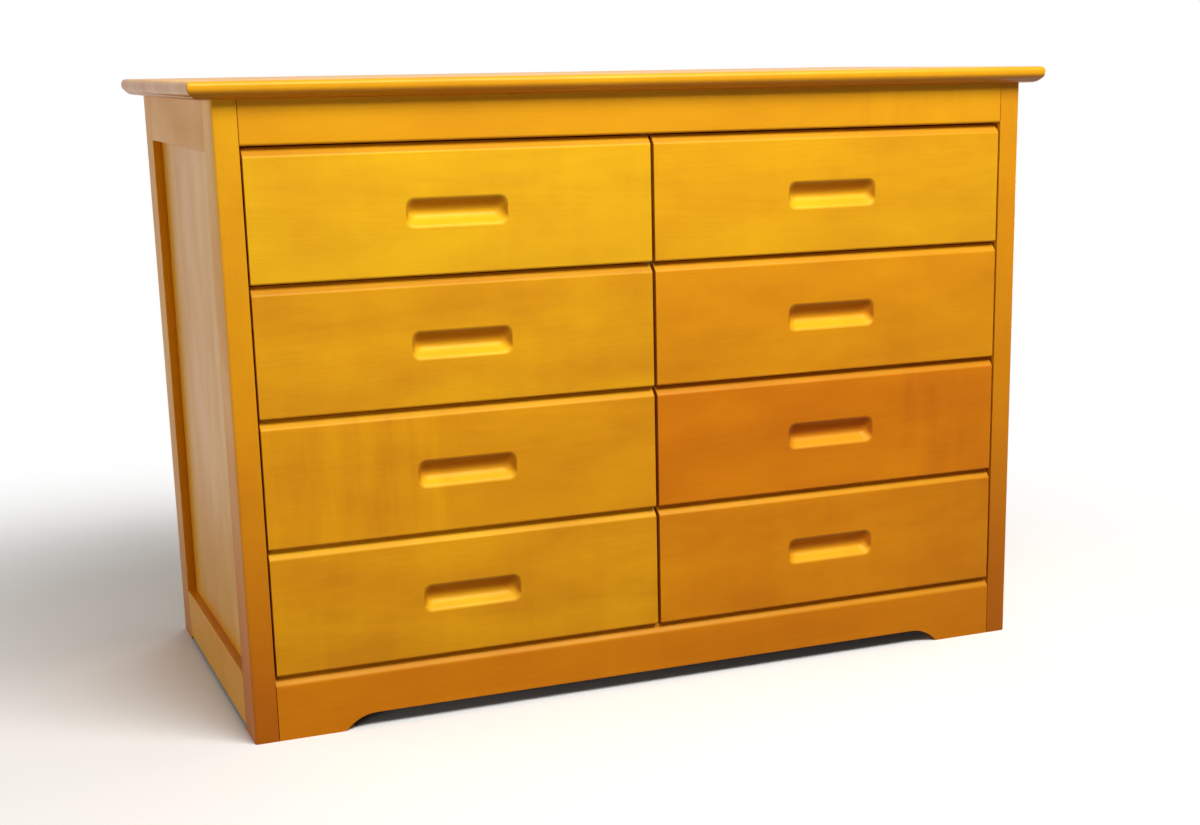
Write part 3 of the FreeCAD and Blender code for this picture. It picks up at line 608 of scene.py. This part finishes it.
back_face = (low.x + high.x) / 2, high.y - SHEET_SUNK, (low.z + high.z) / 2
upright = add(tree, "GeometryNodeTransform",
              {"Geometry": real, "Translation": back_face, "Rotation": (-math.pi / 2, 0, 0)}).outputs[0]
coated = add(tree, "GeometryNodeSetMaterial", {"Geometry": upright, "Material": zinc}).outputs[0]
add(tree, "NodeGroupOutput", {0: coated})
panel_pins = bpy.data.objects.new("panel_pins", bpy.data.meshes.new("panel_pins"))
shape_by(panel_pins, tree, pin_inputs, PIN_SIZES)
fit(panel_pins, zinc, "case", "screw_steel")


# Top: a maple panel glued up from planks, its front and two ends rounded above and bevelled below,
# its back edge plain. It overhangs the case and is held from below through the corner blocks.
TOP_BEVEL, TOP_ROUND, TOP_NOSE, TOP_BEVEL_FOOT = 0.0095, 0.0065, 0.008, 0.014
TOP_CORNER, TOP_STAVE, TOP_REACH, TOP_TONE = 0.003, 0.092, 0.05, 0.45
EDGE_STEPS, TURN_STEPS, INNER_ROUND = 8, 5, 0.001


def rounded(corners, steps):
    """An outline's corners as arcs of points with outward normals; each corner is x, y and a radius."""
    arcs = []
    for k, (x, y, radius) in enumerate(corners):
        corner = Vector((x, y))
        back = (Vector(corners[k - 1][:2]) - corner).normalized()
        on = (Vector(corners[(k + 1) % len(corners)][:2]) - corner).normalized()
        half = back.angle(on) / 2
        centre = corner + (back + on).normalized() * radius / math.sin(half)
        first = (corner + back * radius / math.tan(half) - centre).normalized()
        turns = [(math.pi - 2 * half) * step / steps for step in range(steps + 1)]
        normals = [Matrix.Rotation(turn, 2) @ first for turn in turns]
        arcs.append([(centre + normal * radius, normal) for normal in normals])
    return arcs


def underside(face, point):
    """How much painted shade darkens the top on the faces that look down."""
    return max(0.0, -face.normal.z), 0.0


low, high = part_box("top_panel")
thick = high.z - low.z
edge_arcs = rounded(((-TOP_REACH, 0, INNER_ROUND), (-TOP_BEVEL, 0, TOP_BEVEL_FOOT),
                     (0, TOP_BEVEL, TOP_NOSE), (0, thick, TOP_ROUND),
                     (-TOP_REACH, thick, INNER_ROUND)), EDGE_STEPS)
bm = bmesh.new()
hoops = []
for point, _ in edge_arcs[1] + edge_arcs[2] + edge_arcs[3]:
    inset = -point.x
    z = low.z + point.y
    hoop = [bm.verts.new((low.x + inset, high.y, z))]
    for side_x, turn_from in ((low.x, 180), (high.x, 270)):
        inward = 1 if side_x == low.x else -1
        reach = max(TOP_CORNER, inset)
        centre = Vector((side_x + inward * reach, low.y + reach, z))
        for k in range(TURN_STEPS + 1):
            angle = math.radians(turn_from + 90 * k / TURN_STEPS)
            outward = Vector((math.cos(angle), math.sin(angle), 0))
            hoop.append(bm.verts.new(centre + (reach - inset) * outward))
    hoop.append(bm.verts.new((high.x - inset, high.y, z)))
    hoops.append(hoop)
for lower, upper in zip(hoops, hoops[1:]):
    for k in range(len(lower) - 1):
        bm.faces.new((lower[k], lower[k + 1], upper[k + 1], upper[k]))
bm.faces.new(hoops[-1])
bm.faces.new(hoops[0])
bm.faces.new([hoop[0] for hoop in hoops] + [hoop[-1] for hoop in reversed(hoops)])
bmesh.ops.remove_doubles(bm, verts=bm.verts, dist=SAME_POINT)
bmesh.ops.recalc_face_normals(bm, faces=bm.faces)
top_board = as_object(bm, "top_board")
top_maple = timber("maple_glued_top", YELLOW, AMBER, darkened_colour="#b4560a", roughness=0.38, coat=0.1,
                   stave=TOP_STAVE)
lay_grain(top_board, "X", "Y", tone=TOP_TONE, tilt=0, tinting=underside)
fit(top_board, top_maple, "case", "case_maple", "top_panel")


# Drawers: solid maple fronts with a chamfered top edge and a routed finger scoop, on birch boxes
# with plywood bottoms. Each front was cut from its own board, so tone and figure differ a little.
CHAMFER, CHAMFER_FOOT, LOWER_ROUND, FRONT_EASE, END_EASE = 0.010, 0.005, 0.003, 0.0013, 0.001
SCOOP_LENGTH, SCOOP_HEIGHT, SCOOP_DEPTH, SCOOP_CORNER, SCOOP_END = 0.128, 0.038, 0.013, 0.010, 0.018
# Scoop: painted shade darkens its upper wall, and painted light gives its lower wall a paler tone
SCOOP_DROP, SCOOP_LIP, SCOOP_SHADE, SCOOP_LIGHT = 0.0035, 0.35, 1.4, 0.7
SCOOP_STEPS, SCOOP_FLOOR, SCOOP_TURN, END_LEAN = 16, 0.97, 8, 0.25
OUTLINE_STEPS, END_STEPS, BOX_EASE = 4, 3, 0.0015
# Tone, cloudiness, curl, and how much painted shade darkens the chamfer
FRONT_BOARDS = {
    "left_1": (0.05, 1.8, (0.3, 0.0, ALL_ALONG), 0.75), "right_1": (0.3, 1.8, (0.2, 0.0, ALL_ALONG), 0.75),
    "left_2": (0.38, 2.2, (0.3, 0.0, ALL_ALONG), 0.8), "right_2": (0.68, 1.9, (0.2, 0.0, ALL_ALONG), 0.65),
    "left_3": (0.55, 1.8, (1.3, -0.13, 0.15), 0.55), "right_3": (1.0, 1.8, (0.8, 0.16, 0.07), 0.65),
    "left_4": (0.5, 2.4, (0.4, 0.0, ALL_ALONG), 0.4), "right_4": (0.86, 2.0, (0.3, 0.0, ALL_ALONG), 0.45)}


def scoop_ring(bm, centre, part):
    """The scoop's outline, part of the way from its rounded lip, at 0, to its deepest line, at 1."""
    half_x = SCOOP_LENGTH / 2 - SCOOP_END * (END_LEAN * part + (1 - END_LEAN) * part ** 2)
    half_z = SCOOP_HEIGHT / 2 * (1 - part)
    lip, bowl = part ** 2 / SCOOP_LIP, 1 - (1 - part) ** 2 / (1 - SCOOP_LIP)
    depth = SCOOP_DEPTH * (lip if part < SCOOP_LIP else bowl)
    radius = min(SCOOP_CORNER, half_z)
    ring = []
    for corner, (side_x, side_z) in enumerate(((-1, -1), (1, -1), (1, 1), (-1, 1))):
        for k in range(SCOOP_TURN + 1):
            angle = math.radians(180 + 90 * corner + 90 * k / SCOOP_TURN)
            x = side_x * (half_x - radius) + radius * math.cos(angle)
            z = side_z * (half_z - radius) + radius * math.sin(angle)
            ring.append(bm.verts.new(centre + Vector((x, depth, z))))
    return ring


def scooped_front(name, low, high):
    """A board chamfered above and rounded below, with a scoop in its face, between two corners."""
    width, thickness, height = high - low
    arcs = rounded(((0, 0, LOWER_ROUND), (thickness, 0, FRONT_EASE), (thickness, height, FRONT_EASE),
                    (CHAMFER, height, FRONT_EASE), (0, height - CHAMFER, CHAMFER_FOOT)), OUTLINE_STEPS)
    outline = [place for arc in arcs for place in arc]
    bm = bmesh.new()
    hoops = []
    for end in (0, 1):
        for k in range(END_STEPS + 1):
            angle = math.radians(90 / END_STEPS * (k if end else END_STEPS - k))
            inset = END_EASE * (1 - math.cos(angle))
            x = END_EASE * (1 - math.sin(angle))
            hoops.append([bm.verts.new(low + Vector((width - x if end else x, *(point - inset * normal))))
                          for point, normal in outline])
    for number, (one, other) in enumerate(zip(hoops, hoops[1:])):
        for k in range(len(outline)):
            is_face = number == END_STEPS and k == len(outline) - 1
            if not is_face:
                after = (k + 1) % len(outline)
                bm.faces.new((one[k], other[k], other[after], one[after]))
    bm.faces.new(hoops[0])
    bm.faces.new(hoops[-1])
    left, right = hoops[END_STEPS], hoops[END_STEPS + 1]
    face = [left[0], right[0], right[-1], left[-1]]

    middle = low + Vector((width / 2, 0, height / 2 - SCOOP_DROP))
    rings = [scoop_ring(bm, middle, SCOOP_FLOOR * k / SCOOP_STEPS) for k in range(SCOOP_STEPS + 1)]
    mouth, count = rings[0], len(rings[0])
    for corner in range(4):
        start = (SCOOP_TURN + 1) * corner
        end = start + SCOOP_TURN
        for k in range(start, end):
            bm.faces.new((face[corner], mouth[k], mouth[k + 1]))
        bm.faces.new((face[corner], mouth[end], mouth[(end + 1) % count], face[(corner + 1) % 4]))
    for outer, inner in zip(rings, rings[1:]):
        for k in range(count):
            bm.faces.new((outer[k], inner[k], inner[(k + 1) % count], outer[(k + 1) % count]))
    bm.faces.new(rings[-1])
    bmesh.ops.recalc_face_normals(bm, faces=bm.faces)
    return as_object(bm, name)


def painted_front_shading(low, high, chamfer_shade):
    """Tells how each face of a front is shaded in paint: shade on its chamfer and on the scoop's upper wall,
    and light, as a paler tone, on the scoop's lower wall.
    """
    middle = (low + high) / 2 - Vector((0, 0, SCOOP_DROP))

    def marks(face, point):
        # Chamfer: painted shade, a darkening with a paler tone so that it stays golden
        if face.center.z > high.z - CHAMFER:
            return chamfer_shade, SHADE_TONE_SHIFT
        aside = face.center - middle
        in_scoop = abs(aside.x) < SCOOP_LENGTH / 2 and abs(aside.z) < SCOOP_HEIGHT / 2
        if not in_scoop:
            return 0.0, 0.0
        # Upper wall, facing down: painted shade; lower wall, facing up: painted light, as a paler tone
        return min(1.0, SCOOP_SHADE * max(0.0, -face.normal.z)), SCOOP_LIGHT * max(0.0, face.normal.z)
    return marks


def let_in(piece, low, high):
    """Cuts the room between two corners out of a piece."""
    bm = bmesh.new()
    bmesh.ops.create_cube(bm, size=1, matrix=Matrix.LocRotScale((low + high) / 2, None, high - low))
    block = as_object(bm, "let_in")
    bring_in(block)
    cutting = piece.modifiers.new("let_in", "BOOLEAN")
    cutting.operation, cutting.solver, cutting.object = "DIFFERENCE", "EXACT", block
    make_plain(piece)
    bpy.data.objects.remove(block)


for place_name, (tone, cloudy, curl, chamfer_shade) in FRONT_BOARDS.items():
    drawer = f"drawer_{place_name}"
    front = scooped_front(f"{drawer}_front_board", *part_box(f"{drawer}_front"))
    side_boxes = [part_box(f"{drawer}_{hand}_side") for hand in ("left", "right")]
    for low, high in side_boxes:
        let_in(front, low, high)
    low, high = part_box(f"{drawer}_bottom")
    low.x, high.x = side_boxes[0][1].x, side_boxes[1][0].x
    let_in(front, low, high)
    lay_grain(front, "X", "Z", tone, cloudy, curl, tinting=painted_front_shading(*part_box(f"{drawer}_front"), chamfer_shade))
    fit(front, maple, drawer, "case_maple", f"{drawer}_front")
    for node, along in ((f"{drawer}_left_side", "Y"), (f"{drawer}_right_side", "Y"), (f"{drawer}_back", "X")):
        board = planed(node, (BOX_EASE, arris_of(*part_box(node))))
        lay_grain(board, along, "Z")
        fit(board, birch, drawer, "inner_birch", node)
    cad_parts[f"{drawer}_bottom"].material_slots[0].material = plywood


# Floor and daylight: a plain pale floor that runs out into white, a wide soft lamp above the front,
# a low one at its left corner, weaker ones for the two sides and the back, and an even white surround.
FLOOR_SIZE, FLOOR_MIDDLE, FADE_FROM, FADE_TO = 60, (-0.25, -0.25, 0), 0.85, 1.9
FLOOR_SEEN, FLOOR_BOUNCE, WHITE, SURROUND_LIGHT = "#f6f4f0", "#4c4b49", "#ffffff", 0.08
# Each lamp's place, what it is aimed at, its width and height, and its power
LAMPS = {"front_softbox": ((0.3, -1.6, 2.3), (0.0, -0.26, 0.45), (2.0, 1.0), 82),
         "corner_softbox": ((-1.9, -2.0, 0.42), (-0.3, -0.26, 0.42), (0.6, 0.7), 11),
         "left_softbox": ((-2.3, 0.4, 0.45), (-0.5, 0.1, 0.4), (0.9, 0.5), 9),
         "right_softbox": ((2.3, 0.4, 0.45), (0.5, 0.1, 0.4), (0.9, 0.5), 14),
         "back_softbox": ((0.5, 2.1, 0.55), (0.0, 0.27, 0.4), (1.4, 0.4), 26)}


def seen_or_mirrored(tree):
    """1 where the camera sees a thing, straight or in metal or glass, and 0 where it only gives light."""
    rays = add(tree, "ShaderNodeLightPath").outputs
    seen = add(tree, "ShaderNodeMath", {0: rays["Is Camera Ray"], 1: rays["Is Glossy Ray"]},
               operation="ADD").outputs[0]
    return add(tree, "ShaderNodeMath", {0: seen, 1: rays["Is Transmission Ray"]}, operation="ADD").outputs[0]


reach = FLOOR_SIZE / 2
mesh = bpy.data.meshes.new("floor")
corners = [(-reach, -reach, 0), (reach, -reach, 0), (reach, reach, 0), (-reach, reach, 0)]
mesh.from_pydata(corners, [], [(0, 1, 2, 3)])
floor = bpy.data.objects.new("floor", mesh)
bring_in(floor)
pale_floor, tree = bare_material("pale_floor")
place = add(tree, "ShaderNodeTexCoord").outputs["Object"]
away = add(tree, "ShaderNodeVectorMath", {0: place, 1: FLOOR_MIDDLE}, operation="DISTANCE").outputs["Value"]
fade = add(tree, "ShaderNodeMapRange", {"Value": away, "From Min": FADE_FROM, "From Max": FADE_TO},
           interpolation_type="SMOOTHSTEP").outputs[0]
white = add(tree, "ShaderNodeEmission", {"Color": linear(WHITE), "Strength": 1.0}).outputs[0]
seen = seen_or_mirrored(tree)
shown = add(tree, "ShaderNodeMix", {0: seen, 6: linear(FLOOR_BOUNCE), 7: linear(FLOOR_SEEN)},
            data_type="RGBA").outputs[2]
lit = add(tree, "ShaderNodeBsdfDiffuse", {"Color": shown}).outputs[0]
open_white = add(tree, "ShaderNodeMath", {0: fade, 1: seen}, operation="MULTIPLY").outputs[0]
ground = add(tree, "ShaderNodeMixShader", {0: open_white, 1: lit, 2: white}).outputs[0]
add(tree, "ShaderNodeOutputMaterial", {"Surface": ground})
mesh.materials.append(pale_floor)

world = bpy.data.worlds.new("white_surround")
bpy.context.scene.world = world
world.use_nodes = True
tree = world.node_tree
tree.nodes.clear()
level = add(tree, "ShaderNodeMapRange", {"Value": seen_or_mirrored(tree), "From Min": 0.0, "From Max": 1.0,
                                         "To Min": SURROUND_LIGHT, "To Max": 1.0}).outputs[0]
sky = add(tree, "ShaderNodeBackground", {"Color": linear(WHITE), "Strength": level}).outputs[0]
add(tree, "ShaderNodeOutputWorld", {"Surface": sky})

for name, (spot, target, (width, height), power) in LAMPS.items():
    lamp = bpy.data.lights.new(name, "AREA")
    lamp.shape, lamp.size, lamp.size_y, lamp.energy = "RECTANGLE", width, height, power
    holder = bpy.data.objects.new(name, lamp)
    holder.location = spot
    holder.visible_camera = False
    holder.rotation_euler = (Vector(target) - Vector(spot)).to_track_quat("-Z", "Y").to_euler()
    bring_in(holder)


# Camera: a short telephoto view from the left and above, as the dresser stands in the photograph,
# with its picture centre shifted because the photograph was cropped.
YAW, PITCH, ROLL = math.radians(23.1227), math.radians(13.6966), math.radians(-0.8349)
FOCAL, CENTRE, PICTURE, SENSOR = 1847.67, (670.58, 508.88), (1200, 825), 36
EYE = (-0.9008, -2.4062, 0.8059)
forward = Vector((math.sin(YAW) * math.cos(PITCH), math.cos(YAW) * math.cos(PITCH), -math.sin(PITCH)))
right = Vector((math.cos(YAW), -math.sin(YAW), 0))
up = right.cross(forward)
level_right = math.cos(ROLL) * right + math.sin(ROLL) * up
level_up = math.cos(ROLL) * up - math.sin(ROLL) * right
camera = bpy.data.cameras.new("photo_view")
camera.sensor_width = SENSOR
camera.lens = FOCAL * SENSOR / PICTURE[0]
camera.shift_x = (PICTURE[0] / 2 - CENTRE[0]) / PICTURE[0]
camera.shift_y = (CENTRE[1] - PICTURE[1] / 2) / PICTURE[0]
stand = bpy.data.objects.new("photo_view", camera)
turned = Matrix((level_right, level_up, -forward)).transposed().to_4x4()
stand.matrix_world = Matrix.Translation(EYE) @ turned
bring_in(stand)
bpy.context.scene.camera = stand
bpy.context.scene.view_settings.view_transform = "Standard"
